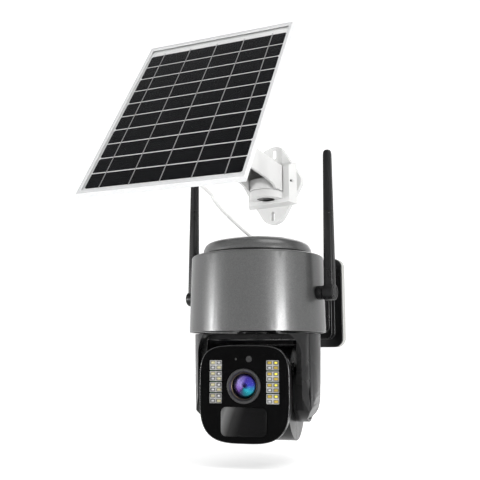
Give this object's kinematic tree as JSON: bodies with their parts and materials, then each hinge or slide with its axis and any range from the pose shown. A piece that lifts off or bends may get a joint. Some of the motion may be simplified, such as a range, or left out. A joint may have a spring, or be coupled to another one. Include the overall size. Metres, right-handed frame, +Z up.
{
  "type": "solar powered security camera",
  "caption": "Wall mounted pan and tilt security camera with two antennas, lamps and a motion sensor, fed by a hinged solar panel on its own swivelling bracket.",
  "frame": {"origin": "centre of the back face of the camera's wall plate, on the wall", "axes": "+Y into the wall, +Z up, +X to the right seen from in front"},
  "size_m": [0.2119, 0.2595, 0.4148],
  "materials": {
    "bracket_grey": "light grey moulded plastic",
    "bracket_black": "black textured moulded plastic",
    "housing_grey": "satin grey metallic paint",
    "black_plastic": "black moulded plastic",
    "gloss_black": "gloss black front plate",
    "rubber_black": "soft black rubber",
    "screw_steel": "zinc plated screws",
    "bearing_steel": "polished bearing steel",
    "motor_steel": "plain steel motor can",
    "brass": "turned brass",
    "gear_acetal": "natural acetal",
    "board_green": "green solder mask",
    "cell_blue": "shrink sleeve on steel cells",
    "lens_glass": "coated optical glass",
    "led_white": "white lamp bodies with phosphor dies",
    "window_dark": "dark translucent plastic",
    "abs_white": "white moulded plastic",
    "button_red": "red moulded plastic",
    "frame_aluminium": "satin anodised aluminium",
    "panel_glass": "low iron cover glass",
    "solar_cell": "dark blue silicon with tinned ribbons",
    "backing_white": "white backing sheet",
    "lead_white": "white flexible sheath"
  },
  "bodies": {
    "base": {"wall_plate": "bracket_grey", "wall_bracket": "bracket_black", "bracket_screws": "screw_steel", "cable_clip": "bracket_black", "housing_shell": "housing_grey", "housing_cap": "housing_grey", "cap_gasket": "rubber_black", "housing_floor": "black_plastic", "pan_bearing": "bearing_steel", "pan_motor": "motor_steel", "main_board": "board_green", "battery_cells": "cell_blue", "battery_tray": "black_plastic", "speaker": "black_plastic", "power_socket": "black_plastic", "antenna_bases": "black_plastic", "bracket_base": "abs_white", "swivel_bolt": "screw_steel", "lead_tails": "lead_white", "lead_coil": "lead_white", "coil_ties": "abs_white", "lead_plug": "rubber_black"},
    "yoke": {"yoke_frame": "black_plastic", "yoke_covers": "black_plastic", "pan_gear": "gear_acetal", "tilt_bearings": "bearing_steel", "tilt_motor": "motor_steel"},
    "head": {"head_front_shell": "black_plastic", "head_rear_shell": "black_plastic", "face_plate": "gloss_black", "tilt_axles": "bearing_steel", "tilt_gear": "gear_acetal", "lens_bezel": "black_plastic", "lens_glass": "lens_glass", "lens_barrel": "black_plastic", "image_board": "board_green", "front_board": "board_green", "led_modules": "led_white", "pir_lens": "window_dark", "light_sensor": "window_dark", "card_socket": "motor_steel", "memory_card": "black_plastic"},
    "reset_button": {"reset_button": "button_red"},
    "card_flap": {"card_flap": "rubber_black"},
    "pan_pinion": {"pan_pinion": "brass"},
    "tilt_pinion": {"tilt_pinion": "brass"},
    "antenna_left": {"antenna_left": "black_plastic"},
    "antenna_right": {"antenna_right": "black_plastic"},
    "arm": {"panel_arm": "abs_white", "tilt_bolt": "screw_steel", "panel_lead": "lead_white"},
    "tilt_knob": {"tilt_knob": "black_plastic"},
    "panel": {"hinge_plate": "abs_white", "hinge_screws": "screw_steel", "frame_rails": "frame_aluminium", "corner_keys": "motor_steel", "panel_glass": "panel_glass", "panel_cells": "solar_cell", "panel_backing": "backing_white", "junction_box": "black_plastic"}
  },
  "joints": [
    {"name": "pan", "type": "hinge", "parent": "base", "child": "yoke", "pos_m": [0, -0.119, -0.03], "axis": [0, 0, 1], "range_deg": [-177.6, 162.4]},
    {"name": "tilt", "type": "hinge", "parent": "yoke", "child": "head", "pos_m": [0, -0.119, -0.0894], "axis": [0.9532, 0.3024, 0], "range_deg": [-12, 80]},
    {"name": "pan_pinion_spin", "type": "hinge", "parent": "base", "child": "pan_pinion", "pos_m": [-0.0302, -0.119, -0.024], "axis": [0, 0, 1], "range_deg": [-660, 720]},
    {"name": "tilt_pinion_spin", "type": "hinge", "parent": "yoke", "child": "tilt_pinion", "pos_m": [0.04289, -0.10539, -0.071], "axis": [0.9532, 0.3024, 0], "range_deg": [-270, 45]},
    {"name": "antenna_left_lean", "type": "hinge", "parent": "base", "child": "antenna_left", "pos_m": [-0.0772, -0.119, 0.001], "axis": [1, 0, 0], "range_deg": [-35, 35]},
    {"name": "antenna_right_lean", "type": "hinge", "parent": "base", "child": "antenna_right", "pos_m": [0.0772, -0.119, 0.001], "axis": [1, 0, 0], "range_deg": [-35, 35]},
    {"name": "reset_press", "type": "slide", "parent": "head", "child": "reset_button", "axis": [0.1944, -0.6127, 0.766], "range_m": [0, 0.0008], "stiffness_N_per_m": 200, "springref_m": -0.0004},
    {"name": "flap_open", "type": "hinge", "parent": "head", "child": "card_flap", "pos_m": [-0.00568, -0.10111, -0.12919], "axis": [-0.9532, -0.3024, 0], "range_deg": [0, 95]},
    {"name": "arm_swivel", "type": "hinge", "parent": "base", "child": "arm", "pos_m": [-0.048, -0.022, 0.13], "axis": [0, 0, 1], "range_deg": [-20, 5], "deforming": ["panel_lead"]},
    {"name": "panel_tilt", "type": "hinge", "parent": "arm", "child": "panel", "pos_m": [-0.02563, -0.15148, 0.166], "axis": [0.9854, 0.1702, 0], "range_deg": [-25, 10], "deforming": ["panel_lead"]},
    {"name": "knob_turn", "type": "hinge", "parent": "arm", "child": "tilt_knob", "pos_m": [-0.00593, -0.14808, 0.166], "axis": [0.9854, 0.1702, 0], "range_deg": [0, 360]}
  ],
  "couplings": [
    {"joint": "pan_pinion_spin", "follows": "pan", "ratio": -4},
    {"joint": "tilt_pinion_spin", "follows": "tilt", "ratio": -3.3333}
  ]
}
